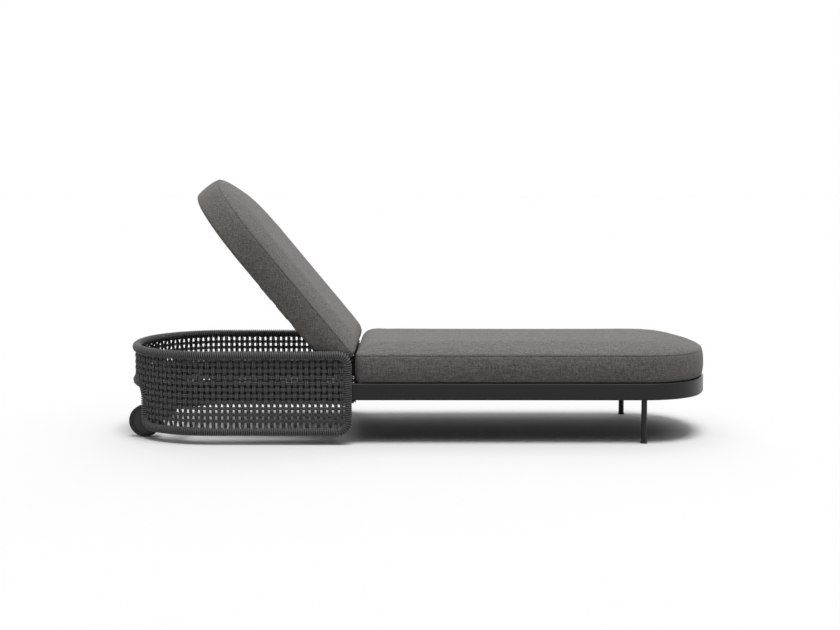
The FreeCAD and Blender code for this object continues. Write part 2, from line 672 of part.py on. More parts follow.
def back_frame():
    """Turning half: stringers with their hinge pins, and the slats on them."""
    nodes = {}
    deck_plan = HEAD_PLAN.inset(BACK_SLAT_INSET)
    back_end = deck_plan.tip + RAIL_WIDTH + SLAT_END_GAP
    inner = STRINGER_SIZE / 2 + CHEEK_GAP + CHEEK_THICKNESS
    for name, side in SIDES.items():
        hub = side * BACK_STRINGER_OFFSET
        bar = stringer(PIVOT_X + BACK_TAIL, back_end + SLAT_WIDTH, hub)
        ends = sorted((hub - side * inner, hub + side * (inner + PIN_IN_RATCHET)))
        pin = cylinder_y(PIN_RADIUS, ends[0], ends[1], PIVOT_X, PIVOT_HEIGHT)
        nodes["back_stringer_" + name] = reclined(bar.cut(pin))
        nodes["hinge_pin_" + name] = reclined(pin)
    nodes["back_slats"] = reclined(slats(deck_plan, BACK_SLAT_START, back_end))
    return nodes


def cushion_section(plan, x_flat, z, inset):
    """Cushion outline at one level: straight end with rounded corners, rounded far end."""
    end = plan.inset(inset)
    facing = plan.facing
    flat = x_flat + facing * inset
    radius = CUSHION_CORNER
    shrink = radius * (1 - math.sqrt(0.5))
    edges = []
    for side in (1, -1):
        corner = Part.Arc(Vec(flat, side * (end.half - radius), z),
                          Vec(flat + facing * shrink, side * (end.half - shrink), z),
                          Vec(flat + facing * radius, side * end.half, z)).toShape()
        run = line(Vec(flat + facing * radius, side * end.half, z), Vec(end.side_x, side * end.half, z))
        edges.append([corner, run])
    first, second = edges
    across = line(Vec(flat, -(end.half - radius), z), Vec(flat, end.half - radius, z))
    ordered = [across] + first + end.edges(z) + [reversed_edge(edge) for edge in reversed(second)]
    return Part.Wire(ordered)


def cushion(plan, x_flat, heel):
    """Padded cushion lying flat: drawn-in base and seam, bulging sides and a crowned top.

    The heel is how far the straight end is cut back underneath.
    """
    base = FRAME_TOP + FIT_GAP
    seam = base + CUSHION_SIDE
    side_form = [(0.0, 9.0), (0.12, 3.0), (0.35, 0.5), (0.55, 0.0), (0.8, 1.5), (1.0, 6.0)]
    crown_form = [(0.30, 20.0), (0.62, 55.0), (0.86, 105.0), (1.0, 175.0)]
    levels = [(base + CUSHION_SIDE * share, inset) for share, inset in side_form]
    levels += [(seam + CUSHION_CROWN * share, inset) for share, inset in crown_form]
    wires = [cushion_section(plan, x_flat + plan.facing * heel, *levels[0])]
    wires += [cushion_section(plan, x_flat, *level) for level in levels[1:]]
    return Part.makeLoft(wires, True, True)


def cushions():
    back_plan = WALL_PLAN.inset(BINDING_RADIUS + BACK_CUSHION_GAP)
    back = cushion(back_plan, BACK_CUSHION_FOOT, BACK_CUSHION_HEEL)
    return {"seat_cushion": cushion(FOOT_PLAN, SEAT_CUSHION_HEAD, 0.0),
            "back_cushion": slid_up(reclined(back))}


def main():
    nodes = {}
    for group in (perimeter_frame, seat_deck, legs, wheels, basket_rim, hinge_parts, back_frame, cushions):
        nodes.update(group())
    nodes["weave_uprights"] = upright_strands()
    nodes["weave_courses"] = level_courses()
    nodes["basket_spacers"] = basket_spacers()
    os.makedirs("parts", exist_ok=True)
    for name, shape in sorted(nodes.items()):
        shape.exportStep("parts/" + name + ".step")
        print(name, len(shape.Solids), shape.isValid(), round(shape.Volume / 1000), "cm3")


main()
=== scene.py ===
"""Looks of the sun lounger: woven ropes, bound rim, padded cushions, finishes, light and camera."""
import json
import math

import bmesh
import bpy
import numpy as np
from mathutils import Matrix, Vector


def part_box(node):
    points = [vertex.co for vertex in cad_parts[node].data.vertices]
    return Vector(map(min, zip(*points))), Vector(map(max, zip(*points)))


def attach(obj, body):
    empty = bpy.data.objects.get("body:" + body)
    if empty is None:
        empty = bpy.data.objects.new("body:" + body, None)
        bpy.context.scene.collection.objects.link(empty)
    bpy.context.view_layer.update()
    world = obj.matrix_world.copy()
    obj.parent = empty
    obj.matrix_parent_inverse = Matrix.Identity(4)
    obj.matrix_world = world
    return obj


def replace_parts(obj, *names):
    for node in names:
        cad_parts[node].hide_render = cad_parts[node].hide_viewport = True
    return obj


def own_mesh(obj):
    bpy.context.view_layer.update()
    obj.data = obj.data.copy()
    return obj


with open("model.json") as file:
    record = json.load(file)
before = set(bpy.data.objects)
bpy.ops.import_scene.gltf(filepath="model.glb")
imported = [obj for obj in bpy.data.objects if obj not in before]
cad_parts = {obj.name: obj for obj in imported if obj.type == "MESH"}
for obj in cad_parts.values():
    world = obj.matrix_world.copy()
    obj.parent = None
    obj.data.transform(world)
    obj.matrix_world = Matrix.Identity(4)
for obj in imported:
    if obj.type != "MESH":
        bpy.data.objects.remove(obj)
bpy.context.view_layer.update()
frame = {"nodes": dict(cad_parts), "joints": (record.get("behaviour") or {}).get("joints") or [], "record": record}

NODES = frame["nodes"]

# Rope work: lengths in metres, PAIR_OFFSET in radii, the rest counts
RIM_BEND = 0.035
ARCH_BEND = 0.045
STRAND_PITCH = 0.020
COURSE_COUNT = 10
UPRIGHT_RADIUS = 0.0032
COURSE_RADIUS = 0.0027
COURSE_PITCH = 0.0217
PAIR_OFFSET = 1.03
WEAVE_SWING = 0.00295
CROSSING_MARK = 0.0205
BINDING_ROPE_RADIUS = 0.0028
BINDING_PITCH = 0.00756
ROPE_SIDES = 8
STEPS_PER_CROSSING = 4
STEPS_PER_TURN = 10
PLAN_STEP = 0.010
RIM_BEND_STEPS = 9
ARCH_BEND_STEPS = 13
POST_STEPS = 20
RISE_STEPS = 6
BRAID_PITCH = 0.0042
BRAID_STRANDS = 3
WALL_CORNER_INSET = 0.056
WALL_END_MORE = 0.190

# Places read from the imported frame
TOP_LOW, TOP_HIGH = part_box("binding_top")
RIM_RADIUS = (TOP_HIGH.z - TOP_LOW.z) / 2
WALL_HALF = TOP_HIGH.y - RIM_RADIUS
WALL_CORNER = WALL_HALF - WALL_CORNER_INSET
WALL_END = WALL_CORNER + WALL_END_MORE
WALL_TIP = TOP_LOW.x + RIM_RADIUS
COLUMN_CLEARANCE = RIM_RADIUS * 0.8
RIM_HIGH = TOP_HIGH.z - RIM_RADIUS
RIM_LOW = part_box("binding_bottom_left")[0].z + RIM_RADIUS
RIM_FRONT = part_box("binding_front_left")[1].x - RIM_RADIUS
ARCH_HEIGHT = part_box("binding_arch")[1].z - RIM_RADIUS
ARCH_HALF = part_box("binding_arch")[1].y - RIM_RADIUS
RECLINE_JOINT = next(j for j in frame["joints"] if j["name"] == "back_recline")
SLIDE_JOINT = next(j for j in frame["joints"] if j["name"] == "back_cushion_slide")
PIVOT = Vector(RECLINE_JOINT["pos_m"])
RECLINE = -math.radians(RECLINE_JOINT["range_deg"][0])
CUSHION_SLIDE = -SLIDE_JOINT["range_m"][0]
BACK_DIRECTION = Vector(SLIDE_JOINT["axis"])

# Cushions: lengths in metres, with shares and counts
FRAME_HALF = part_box("side_rail_left")[1].y
FOOT_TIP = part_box("foot_bow")[1].x
FOOT_CORNER_INSET = 0.118
FOOT_END_MORE = 0.330
FOOT_CORNER = FRAME_HALF - FOOT_CORNER_INSET
FOOT_END = FOOT_CORNER + FOOT_END_MORE
CUSHION_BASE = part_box("seat_cushion")[0].z
CUSHION_SIDE = 0.096
CUSHION_CROWN = 0.033
CUSHION_CORNER = 0.024
CORNER_STEPS = 6
OUTLINE_STEPS = 110
SEAT_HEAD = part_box("seat_cushion")[0].x
BACK_FOOT = -0.219
BACK_GAP = 0.008
BACK_HEEL = 0.050
VOXEL = 0.008
SEAM_HOLD = VOXEL * 1.5
CLOTH_FRAMES = 20
CLOTH_PRESSURE = 4.0
CLOTH_QUALITY = 4
CLOTH_MASS = 0.08
CLOTH_STIFFNESS = 8.0
CLOTH_BENDING = 1.0
MOST_MOVE = 0.008
MOST_SIDE_MOVE = 0.005
START_INSET = 0.001
END_PUFF = 0.002
END_SHARE = 0.30
BACK_PUFF = 0.013
SEAT_BASE_INSET = 0.011
BACK_BASE_INSET = 0.004
BASE_BLEND = 0.035
BASE_CURVE = 0.4
BASE_CURVE_LEVEL = 0.06
SIDE_PROFILE = ((0.2, 0.0005), (0.5, 0.0), (0.8, 0.0015), (0.93, 0.004))
START_CROWN = 0.92
CROWN_REACH = 0.108
CROWN_POWER = 4
CROWN_EASE = 8
CROWN_STEPS = (0.03, 0.07, 0.12, 0.18, 0.26, 0.36, 0.50, 0.70, 1.0)
SEAM_INSET = 0.007
WELT_RADIUS = 0.0013

# Camera at the photo's place: the depth lines meet at this pixel of the 840 by 630 frame
IMAGE_SIZE = (840, 630)
VANISHING_PIXEL = (425.0, 161.0)
FOCAL_PIXELS = 1651.0
SENSOR_WIDTH = 36.0
CAMERA_PLACE = (0.026, -5.98, 0.972)

# Light: tilt, roll and width of each sun in degrees, and its strength on a floor that faces it
SUNS = (("key", 8.0, 5.0, 28.0, 0.54),
        ("softbox", 0.0, 5.0, 90.0, 0.30),
        ("backdrop", -58.0, 0.0, 60.0, 0.20))
WORLD_FILL = 0.06
FLOOR_BOUNCE = 0.48
FLOOR_REACH = 40.0


class RoundedEnd:
    """Plan of a rounded end: corner arcs tangent to the sides, joined by one end arc."""

    def __init__(self, half, corner, end, tip, facing):
        self.half, self.corner, self.end = half, corner, end
        self.tip, self.facing = tip, facing
        self.depth = end - math.sqrt((end - corner) ** 2 - (half - corner) ** 2)
        self.side_x = tip - facing * self.depth
        self.corner_y = half - corner
        self.joint_angle = math.atan2(self.corner_y, end - self.depth)

    def inset(self, distance):
        """The same plan, drawn in by a distance all round."""
        return RoundedEnd(self.half - distance, self.corner - distance, self.end - distance,
                          self.tip - self.facing * distance, self.facing)

    def half_length(self, x_front):
        """Length along one side from x_front to the tip."""
        straight = abs(x_front - self.side_x)
        return straight + self.corner * (math.pi / 2 - self.joint_angle) + self.end * self.joint_angle

    def at(self, run, x_front):
        """Plan point and outward normal at a distance along the outline from the left front."""
        whole = 2 * self.half_length(x_front)
        side = 1.0
        if run > whole / 2:
            run, side = whole - run, -1.0
        straight = abs(x_front - self.side_x)
        bend = self.corner * (math.pi / 2 - self.joint_angle)
        if run < straight:
            point, normal = (x_front + self.facing * run, self.half), (0.0, 1.0)
        elif run < straight + bend:
            angle = math.pi / 2 - (run - straight) / self.corner
            normal = (self.facing * math.cos(angle), math.sin(angle))
            point = (self.side_x + self.corner * normal[0], self.corner_y + self.corner * normal[1])
        else:
            angle = self.joint_angle - (run - straight - bend) / self.end
            normal = (self.facing * math.cos(angle), math.sin(angle))
            point = (self.tip - self.facing * self.end + self.end * normal[0], self.end * normal[1])
        return np.array([point[0], side * point[1], 0.0]), np.array([normal[0], side * normal[1], 0.0])


WALL = RoundedEnd(WALL_HALF, WALL_CORNER, WALL_END, WALL_TIP, -1)
FOOT = RoundedEnd(FRAME_HALF, FOOT_CORNER, FOOT_END, FOOT_TIP, 1)
WALL_LENGTH = 2 * WALL.half_length(RIM_FRONT)
UP = np.array([0.0, 0.0, 1.0])


# Materials

def material(name, colour, roughness):
    """A node material; returns it with its tree and its Principled shader."""
    made = bpy.data.materials.new(name)
    made.use_nodes = True
    tree = made.node_tree
    shader = tree.nodes["Principled BSDF"]
    shader.inputs["Base Color"].default_value = (*colour, 1.0)
    shader.inputs["Roughness"].default_value = roughness
    return made, tree, shader


def scaled_coordinates(tree, scale, source="Object"):
    """Mapped coordinates, stretched by a scale for each axis."""
    coordinates = tree.nodes.new("ShaderNodeTexCoord")
    mapping = tree.nodes.new("ShaderNodeMapping")
    mapping.inputs["Scale"].default_value = scale
    tree.links.new(coordinates.outputs[source], mapping.inputs["Vector"])
    return mapping.outputs["Vector"]


def noise(tree, vector, scale, detail=3.0, roughness=0.6):
    """Value of a noise texture at the coordinates."""
    node = tree.nodes.new("ShaderNodeTexNoise")
    node.inputs["Scale"].default_value = scale
    node.inputs["Detail"].default_value = detail
    node.inputs["Roughness"].default_value = roughness
    tree.links.new(vector, node.inputs["Vector"])
    return node.outputs["Fac"]


def ramp(tree, value, low, high, dark, light):
    """Colour ramp between two colours over a range of a value."""
    node = tree.nodes.new("ShaderNodeValToRGB")
    first, last = node.color_ramp.elements
    first.position, last.position = low, high
    first.color, last.color = (*dark, 1.0), (*light, 1.0)
    tree.links.new(value, node.inputs["Fac"])
    return node.outputs["Color"]


def spread(tree, value, low, high):
    """A noise value stretched to a range, for roughness."""
    node = tree.nodes.new("ShaderNodeMapRange")
    node.inputs["To Min"].default_value = low
    node.inputs["To Max"].default_value = high
    tree.links.new(value, node.inputs["Value"])
    return node.outputs["Result"]


def math_node(tree, operation, first, second):
    """Result of a sum on two numbers or sockets."""
    node = tree.nodes.new("ShaderNodeMath")
    node.operation = operation
    for socket, value in zip(node.inputs, (first, second)):
        if isinstance(value, (int, float)):
            socket.default_value = value
        else:
            tree.links.new(value, socket)
    return node.outputs["Value"]


def multiplied(tree, first, second):
    """Product of two colours."""
    node = tree.nodes.new("ShaderNodeMix")
    node.data_type, node.blend_type = "RGBA", "MULTIPLY"
    node.inputs[0].default_value = 1.0
    tree.links.new(first, node.inputs[6])
    tree.links.new(second, node.inputs[7])
    return node.outputs[2]


def bump(tree, shader, height, strength, distance):
    """Relief on a shader from a height value."""
    node = tree.nodes.new("ShaderNodeBump")
    node.inputs["Strength"].default_value = strength
    node.inputs["Distance"].default_value = distance
    tree.links.new(height, node.inputs["Height"])
    tree.links.new(node.outputs["Normal"], shader.inputs["Normal"])


def tint(colour, factor):
    """A colour made lighter or darker."""
    return tuple(channel * factor for channel in colour)


def powder_coat():
    """Charcoal powder coat: a fine orange-peel grain with a little gloss."""
    colour = (0.0135, 0.0135, 0.014)
    made, tree, shader = material("powder_coat", colour, 0.5)
    shader.inputs["Specular IOR Level"].default_value = 0.3
    even = scaled_coordinates(tree, (1, 1, 1))
    grain = noise(tree, even, 1400.0, 2.0)
    cloud = noise(tree, even, 6.0, 4.0)
    mottled = ramp(tree, cloud, 0.3, 0.7, tint(colour, 0.88), tint(colour, 1.12))
    tree.links.new(mottled, shader.inputs["Base Color"])
    tree.links.new(spread(tree, grain, 0.30, 0.46), shader.inputs["Roughness"])
    bump(tree, shader, grain, 0.18, 0.0004)
    return made


def rope(name, tone, groove_shade_tone, woven):
    """Charcoal outdoor rope: a braided sleeve with flecked yarns, with painted shade on its sides where ropes meet
    and, when woven, where it passes under another rope.
    """
    colour = (tone, tone * 1.005, tone * 1.025)
    made, tree, shader = material(name, colour, 0.8)
    shader.inputs["Sheen Weight"].default_value = 0.25
    shader.inputs["Sheen Roughness"].default_value = 0.5
    shader.inputs["Specular IOR Level"].default_value = 0.3
    coordinates = tree.nodes.new("ShaderNodeTexCoord")
    parts = tree.nodes.new("ShaderNodeSeparateXYZ")
    tree.links.new(coordinates.outputs["UV"], parts.inputs["Vector"])
    along = math_node(tree, "MULTIPLY", parts.outputs["X"], 2 * math.pi / BRAID_PITCH)
    around = math_node(tree, "MULTIPLY", parts.outputs["Y"], 2 * math.pi * BRAID_STRANDS)
    one_way = math_node(tree, "SINE", math_node(tree, "ADD", along, around), 0.0)
    other_way = math_node(tree, "SINE", math_node(tree, "SUBTRACT", along, around), 0.0)
    braid = math_node(tree, "MULTIPLY", one_way, other_way)
    fleck = noise(tree, scaled_coordinates(tree, (1, 1, 1)), 420.0, 3.0)
    level = math_node(tree, "ADD", math_node(tree, "MULTIPLY", braid, 0.16), fleck)
    yarns = ramp(tree, level, 0.25, 0.75, tint(colour, 0.6), tint(colour, 1.5))
    facing = math_node(tree, "COSINE", math_node(tree, "MULTIPLY", parts.outputs["Y"], 2 * math.pi), 0.0)
    outward = math_node(tree, "ABSOLUTE", facing, 0.0)
    # Painted shade: the rope's sides, where it lies against the next rope or winding, are darkened towards the
    # groove shade tone.
    groove_shade = ramp(tree, outward, 0.30, 0.90, (groove_shade_tone,) * 3, (1.0,) * 3)
    yarns = multiplied(tree, yarns, groove_shade)
    if woven:
        # Painted shade: where a woven rope's face dives under a crossing rope, its colour is darkened; exposed
        # faces at the over-crossings keep the full colour.
        step = math_node(tree, "MULTIPLY", parts.outputs["X"], math.pi / CROSSING_MARK)
        over = math_node(tree, "MULTIPLY", math_node(tree, "COSINE", step, 0.0), facing)
        level_over = spread(tree, over, 0.5, 1.0)
        under = ramp(tree, level_over, 0.25, 0.95, (0.30,) * 3, (1.0,) * 3)
        yarns = multiplied(tree, yarns, under)
    tree.links.new(yarns, shader.inputs["Base Color"])
    bump(tree, shader, level, 0.5, 0.0006)
    return made


def crossed_yarns(tree, along, across):
    """Streaks along each of the three axes, averaged: yarns both ways on every face."""
    total = None
    for axis in range(3):
        stretch = [across] * 3
        stretch[axis] = along
        yarn = noise(tree, scaled_coordinates(tree, stretch), 1.0, 2.0, 0.5)
        total = yarn if total is None else math_node(tree, "ADD", total, yarn)
    return math_node(tree, "MULTIPLY", total, 1 / 3)


def cushion_fabric(name, factor=1.0):
    """Warm grey melange: slubby yarns both ways, light and dark threads, a soft sheen."""
    colour = tint((0.186, 0.179, 0.171), factor)
    made, tree, shader = material(name, colour, 0.9)
    shader.inputs["Sheen Weight"].default_value = 0.12
    shader.inputs["Sheen Roughness"].default_value = 0.6
    shader.inputs["Specular IOR Level"].default_value = 0.2
    slubs = crossed_yarns(tree, 30.0, 340.0)
    threads = crossed_yarns(tree, 110.0, 1000.0)
    level = math_node(tree, "MULTIPLY", math_node(tree, "ADD", slubs, threads), 0.5)
    melange = ramp(tree, level, 0.42, 0.58, tint(colour, 0.42), tint(colour, 1.58))
    tree.links.new(melange, shader.inputs["Base Color"])
    bump(tree, shader, threads, 0.35, 0.0009)
    return made


def plain_finish(name, colour, rough_low, rough_high, grain_scale, depth, metallic=0.0):
    """Moulded plastic, rubber or steel: a grain in its roughness and surface."""
    made, tree, shader = material(name, colour, rough_high)
    shader.inputs["Metallic"].default_value = metallic
    even = scaled_coordinates(tree, (1, 1, 1))
    grain = noise(tree, even, grain_scale, 3.0)
    cloud = noise(tree, even, 25.0, 4.0)
    tree.links.new(spread(tree, grain, rough_low, rough_high), shader.inputs["Roughness"])
    mottled = ramp(tree, cloud, 0.3, 0.7, tint(colour, 0.85), tint(colour, 1.15))
    tree.links.new(mottled, shader.inputs["Base Color"])
    bump(tree, shader, grain, 0.2, depth)
    return made


METAL = powder_coat()
# The third number is the painted shade on the rope sides between neighbouring ropes and windings; the woven rope
# also gets painted shade where it passes under.
ROPE = rope("charcoal_rope", 0.150, 0.30, True)
BINDING_ROPE = rope("charcoal_binding", 0.150, 0.20, False)
FABRIC = cushion_fabric("melange_fabric")
WELT_FABRIC = cushion_fabric("melange_welt", 0.70)
RUBBER = plain_finish("black_rubber", (0.016, 0.016, 0.016), 0.65, 0.85, 900.0, 0.0003)
NYLON = plain_finish("black_nylon", (0.021, 0.021, 0.0215), 0.45, 0.6, 700.0, 0.0002)
STEEL = plain_finish("satin_steel", (0.55, 0.55, 0.54), 0.28, 0.42, 600.0, 0.0001, 1.0)
FINISH_OF_SLOT = {
    "frame_metal": METAL,
    "rope_binding": BINDING_ROPE,
    "rope_weave": ROPE,
    "cushion_fabric": FABRIC,
    "tyre_rubber": RUBBER,
    "wheel_nylon": NYLON,
    "steel": STEEL,
    "rubber_pad": RUBBER,
}


def finish_nodes():
    """Each CAD node takes the finish of its slot."""
    for part in frame["record"]["subparts"]:
        mesh = NODES[part["node"]].data
        mesh.materials.clear()
        mesh.materials.append(FINISH_OF_SLOT[part["material_slot"]])


def link(name, mesh, finish, body):
    """A new smooth piece that rides on a body."""
    piece = bpy.data.objects.new(name, mesh)
    bpy.context.scene.collection.objects.link(piece)
    mesh.materials.clear()
    mesh.materials.append(finish)
    mesh.polygons.foreach_set("use_smooth", [True] * len(mesh.polygons))
    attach(piece, body)
    return piece


# Ropes

def run_lengths(points):
    """Distance of each point from the first, along the points."""
    return np.concatenate([[0.0], np.cumsum(np.linalg.norm(np.diff(points, axis=0), axis=1))])


def rope_mesh(name, routes, radius):
    """Round tubes along routes: points, with a side direction and a mark along the rope for each."""
    points, faces, marks = [], [], []
    turn = np.arange(ROPE_SIDES) * 2 * math.pi / ROPE_SIDES
    for route, sides, run in routes:
        route, sides = np.asarray(route), np.asarray(sides)
        along = np.gradient(route, axis=0)
        along /= np.linalg.norm(along, axis=1)[:, None]
        across = np.cross(along, sides)
        across /= np.linalg.norm(across, axis=1)[:, None]
        out = np.cross(across, along)
        ring = (route[:, None, :] + radius * (np.cos(turn)[None, :, None] * out[:, None, :]
                                              + np.sin(turn)[None, :, None] * across[:, None, :]))
        first = len(points)
        points.extend(ring.reshape(-1, 3).tolist())
        for i in range(len(route) - 1):
            low, high = first + i * ROPE_SIDES, first + (i + 1) * ROPE_SIDES
            for k in range(ROPE_SIDES):
                after = (k + 1) % ROPE_SIDES
                faces.append((low + k, high + k, high + after, low + after))
                marks += [(run[i], k / ROPE_SIDES), (run[i + 1], k / ROPE_SIDES),
                          (run[i + 1], (k + 1) / ROPE_SIDES), (run[i], (k + 1) / ROPE_SIDES)]
        for end, order in ((first, 1), (first + (len(route) - 1) * ROPE_SIDES, -1)):
            faces.append(tuple(end + k for k in range(ROPE_SIDES))[::order])
            marks += [(0.0, 0.5)] * ROPE_SIDES
    mesh = bpy.data.meshes.new(name)
    mesh.from_pydata(points, [], faces)
    layer = mesh.uv_layers.new(name="rope")
    layer.data.foreach_set("uv", np.asarray(marks, np.float32).ravel())
    return mesh


POST_RADIUS = math.hypot(WALL_CORNER, RIM_BEND)
POST_ANGLE = math.asin((ARCH_HALF - WALL.corner_y) / POST_RADIUS)
POST_RUN = RIM_FRONT - WALL.side_x + WALL_CORNER * (math.pi / 2 - POST_ANGLE)
ARCH_SHOULDER = ARCH_HEIGHT - ARCH_BEND


def arch_level(past_post):
    """Level of the rim's centre line under a strand, beside or over the cut-out."""
    if past_post < 0:
        return RIM_LOW
    across = max(ARCH_BEND - past_post, 0.0)
    return ARCH_SHOULDER + math.sqrt(ARCH_BEND ** 2 - across ** 2)


def arch_reach(z):
    """How far past the post a course runs before it meets the rim of the cut-out."""
    lift = max(z - ARCH_SHOULDER, 0.0)
    if lift >= ARCH_BEND:
        return None
    return ARCH_BEND - math.sqrt(ARCH_BEND ** 2 - lift ** 2)


COLUMN_COUNT = 2 * round(WALL_LENGTH / 2 / STRAND_PITCH)
COLUMN_PITCH = WALL_LENGTH / COLUMN_COUNT
COURSE_LOW = RIM_LOW + RIM_RADIUS


def swing(phase):
    """Side-to-side offset of a rope in the weave: over one crossing, under the next."""
    return WEAVE_SWING * math.cos(math.pi * phase)


def upright_routes():
    """Doubled upright ropes, in front of every second course."""
    routes = []
    for column in range(1, COLUMN_COUNT):
        run = column * COLUMN_PITCH
        near = min(run, WALL_LENGTH - run)
        if near < COLUMN_CLEARANCE:
            continue
        bottom = arch_level(near - POST_RUN)
        count = max(2, round((RIM_HIGH - bottom) / COURSE_PITCH * STEPS_PER_CROSSING)) + 1
        for offset in (-PAIR_OFFSET, PAIR_OFFSET):
            point, normal = WALL.at(run + offset * UPRIGHT_RADIUS, RIM_FRONT)
            route, marks = [], []
            for z in np.linspace(bottom, RIM_HIGH, count):
                phase = (z - COURSE_LOW) / COURSE_PITCH + column
                route.append(point + normal * swing(phase) + UP * z)
                marks.append(phase * CROSSING_MARK)
            routes.append((route, [normal] * count, marks))
    return routes


def course_routes():
    """Doubled level ropes, behind every upright that passes in front."""
    routes = []
    for course in range(1, COURSE_COUNT + 1):
        for offset in (-PAIR_OFFSET, PAIR_OFFSET):
            z = COURSE_LOW + course * COURSE_PITCH + offset * COURSE_RADIUS
            reach = arch_reach(z)
            stretches = [(0.0, WALL_LENGTH)]
            if reach is not None:
                end = POST_RUN + reach
                stretches = [(0.0, end), (WALL_LENGTH - end, WALL_LENGTH)]
            for start, end in stretches:
                count = round((end - start) / COLUMN_PITCH * STEPS_PER_CROSSING) + 1
                route, sides, marks = [], [], []
                for run in np.linspace(start, end, count):
                    point, normal = WALL.at(run, RIM_FRONT)
                    phase = run / COLUMN_PITCH + course + 1
                    route.append(point + normal * swing(phase) + UP * z)
                    sides.append(normal)
                    marks.append(phase * CROSSING_MARK)
                routes.append((route, sides, marks))
    return routes


def arc_points(centre, start, end, count):
    """Points of a quarter arc round a centre, from one arm to another."""
    angles = np.linspace(0.0, math.pi / 2, count)
    return [centre + start * math.cos(a) + end * math.sin(a) for a in angles]


def plan_run(plan, first, last, z):
    """Points along the plan outline between two distances, at one level."""
    count = max(2, round(abs(last - first) / PLAN_STEP)) + 1
    return [plan.at(run, RIM_FRONT)[0] + UP * z for run in np.linspace(first, last, count)]


def rim_lines():
    """Centre lines of the bound rim by stretch, as in the CAD nodes."""
    lines = {"top": plan_run(WALL, RIM_BEND, WALL_LENGTH - RIM_BEND, RIM_HIGH)}
    arch_inset = WALL_CORNER - math.sqrt(WALL_CORNER ** 2 + RIM_BEND ** 2 - ARCH_BEND ** 2)
    arch = WALL.inset(arch_inset)
    low_angle = POST_ANGLE + math.atan2(RIM_BEND, WALL_CORNER)
    arch_angle = POST_ANGLE - math.atan2(ARCH_BEND, arch.corner)
    straight = RIM_FRONT - WALL.side_x
    low_run = straight + WALL_CORNER * (math.pi / 2 - low_angle)
    arch_run = straight + arch.corner * (math.pi / 2 - arch_angle)
    arch_length = 2 * arch.half_length(RIM_FRONT)
    front = np.array([RIM_BEND, 0.0, 0.0])
    rises = {}
    for name, side in (("left", 1), ("right", -1)):
        y = side * WALL_HALF
        inner = np.array([RIM_FRONT - RIM_BEND, y, 0.0])
        upper = arc_points(inner + UP * (RIM_HIGH - RIM_BEND), UP * RIM_BEND, front, RIM_BEND_STEPS)
        lower = arc_points(inner + UP * (RIM_LOW + RIM_BEND), front, -UP * RIM_BEND, RIM_BEND_STEPS)
        post = np.linspace(upper[-1], lower[0], POST_STEPS)[1:-1]
        lines["front_" + name] = upper + list(post) + lower
        mirror = np.array([1.0, side, 1.0])
        leave = WALL.at(low_run, RIM_FRONT)[0] * mirror + UP * RIM_LOW
        post_plan = np.array([WALL.side_x - POST_RADIUS * math.cos(POST_ANGLE),
                              side * (WALL.corner_y + POST_RADIUS * math.sin(POST_ANGLE)), 0.0])
        level = post_plan + UP * RIM_LOW - leave
        bend = arc_points(leave + UP * RIM_BEND, -UP * RIM_BEND, level, RIM_BEND_STEPS)
        low = [p * mirror for p in plan_run(WALL, RIM_BEND, low_run, RIM_LOW)]
        lines["bottom_" + name] = low + bend[1:]
        crown = arch.at(arch_run, RIM_FRONT)[0] * mirror + UP * ARCH_HEIGHT
        inward = crown - post_plan - UP * ARCH_HEIGHT
        turn = arc_points(crown - UP * ARCH_BEND, -inward, UP * ARCH_BEND, ARCH_BEND_STEPS)
        rise = np.linspace(bend[-1], turn[0], RISE_STEPS)
        rises[name] = list(rise[:-1]) + turn
    over = plan_run(arch, arch_run, arch_length - arch_run, ARCH_HEIGHT)
    lines["arch"] = rises["left"] + over[1:-1] + rises["right"][::-1]
    return lines


def winding(centre_line):
    """Helix of rope wound close round a rim stretch, with its outward directions."""
    line = np.asarray(centre_line)
    run = run_lengths(line)
    turns = max(2, round(run[-1] / BINDING_PITCH))
    count = turns * STEPS_PER_TURN + 1
    places = np.linspace(0.0, run[-1], count)
    centre = np.stack([np.interp(places, run, line[:, axis]) for axis in range(3)], axis=1)
    along = np.gradient(centre, axis=0)
    along /= np.linalg.norm(along, axis=1)[:, None]
    first = np.empty_like(along)
    guide = np.cross(along[0], UP if abs(along[0][2]) < 0.9 else np.array([0.0, 1.0, 0.0]))
    for index, direction in enumerate(along):
        guide = guide - direction * np.dot(guide, direction)
        guide = guide / np.linalg.norm(guide)
        first[index] = guide
    second = np.cross(along, first)
    turn = np.linspace(0.0, turns * 2 * math.pi, count)[:, None]
    out = np.cos(turn) * first + np.sin(turn) * second
    rope_line = centre + out * (RIM_RADIUS - BINDING_ROPE_RADIUS)
    return rope_line, out, run_lengths(rope_line)


def weave():
    """The woven wall, in place of the CAD lattice."""
    uprights = rope_mesh("woven_uprights", upright_routes(), UPRIGHT_RADIUS)
    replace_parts(link("woven_uprights", uprights, ROPE, "base"), "weave_uprights")
    courses = rope_mesh("woven_courses", course_routes(), COURSE_RADIUS)
    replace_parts(link("woven_courses", courses, ROPE, "base"), "weave_courses")


def bindings():
    """The wound rim, in place of the CAD sleeves."""
    for name, line in rim_lines().items():
        mesh = rope_mesh("wound_" + name, [winding(line)], BINDING_ROPE_RADIUS)
        wound = link("wound_" + name, mesh, BINDING_ROPE, "base")
        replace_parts(wound, "binding_" + name)


# Cushions

